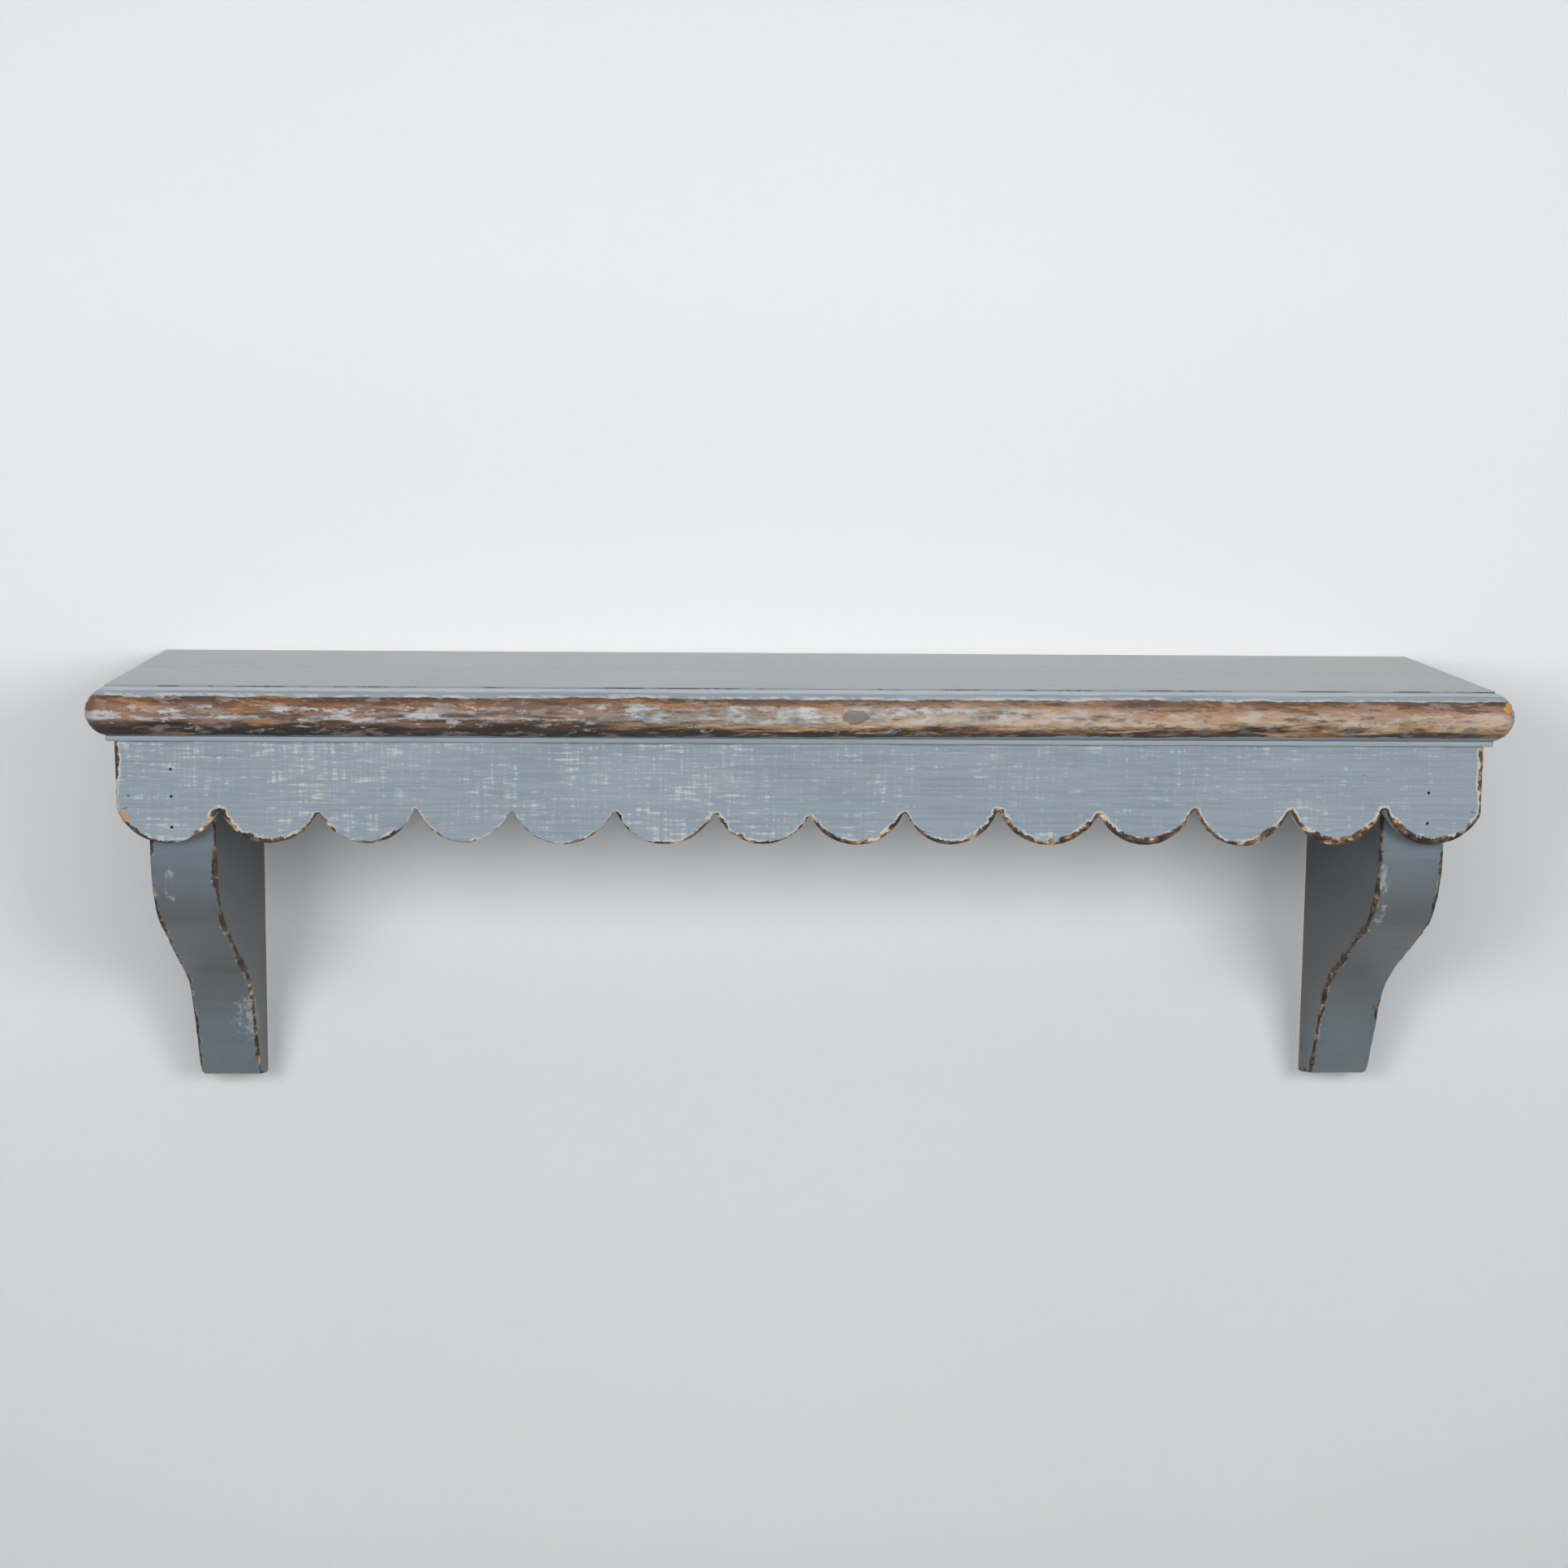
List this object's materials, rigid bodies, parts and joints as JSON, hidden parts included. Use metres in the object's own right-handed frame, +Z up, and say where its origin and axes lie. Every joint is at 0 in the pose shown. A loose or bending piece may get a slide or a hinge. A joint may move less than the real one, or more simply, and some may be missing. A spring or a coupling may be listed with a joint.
{
  "type": "wall shelf",
  "caption": "Painted pine wall shelf with a rounded nose, a scalloped apron, S-curved brackets and keyhole hanging plates let into their backs.",
  "frame": {"origin": "midway between the centres of the two keyhole entry holes, on the wall plane", "axes": "+Y into the wall, -Y out of the wall towards the viewer, +X to the viewer's right along the shelf, +Z up"},
  "size_m": [0.914, 0.235, 0.3072],
  "materials": {
    "board_paint": "satin blue-grey paint, worn through to brown pine along the nose",
    "apron_paint": "blue-grey paint dry-brushed with off-white, worn brown along the scallops",
    "bracket_paint": "satin blue-grey paint, rubbed brown along the corners",
    "beech": "bare beech",
    "bare_pine": "bare sawn pine",
    "dark_steel": "dull dark steel pin",
    "plate_steel": "zinc-plated pressed steel",
    "screw_steel": "yellow-zinc-plated steel"
  },
  "bodies": {
    "root": {"front_plank": "board_paint", "rear_plank": "board_paint", "scalloped_apron": "apron_paint", "bracket_left": "bracket_paint", "bracket_right": "bracket_paint", "dowels_left": "beech", "dowels_right": "beech", "glue_blocks": "bare_pine", "pins_left": "dark_steel", "pins_right": "dark_steel", "keyhole_plate_left": "plate_steel", "keyhole_plate_right": "plate_steel", "plate_screws_left": "screw_steel", "plate_screws_right": "screw_steel"}
  },
  "joints": []
}
